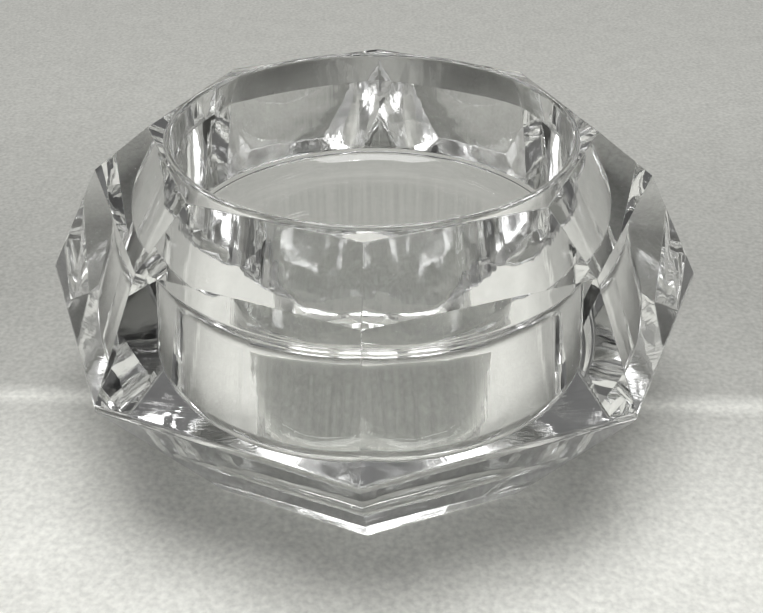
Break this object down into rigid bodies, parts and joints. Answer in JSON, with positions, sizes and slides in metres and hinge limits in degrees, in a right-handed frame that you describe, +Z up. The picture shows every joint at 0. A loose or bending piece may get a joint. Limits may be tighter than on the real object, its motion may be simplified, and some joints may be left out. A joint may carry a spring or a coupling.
{
  "type": "crystal votive holder",
  "caption": "Squat clear-crystal candle holder: thick-walled octagonal faceted body with a wide girdle, a deep round well with a ledge part-way down, a thin raised lip, and a flat base.",
  "frame": {"origin": "centre of the flat base, on the surface that the holder stands on", "axes": "+Z up along the candle well's axis; the octagon's corners lie on the X and Y axes, so one ridge faces -Y"},
  "size_m": [0.0796, 0.0796, 0.04],
  "materials": {
    "clear_crystal": "polished"
  },
  "bodies": {
    "root": {"crystal_body": "clear_crystal"}
  },
  "joints": []
}
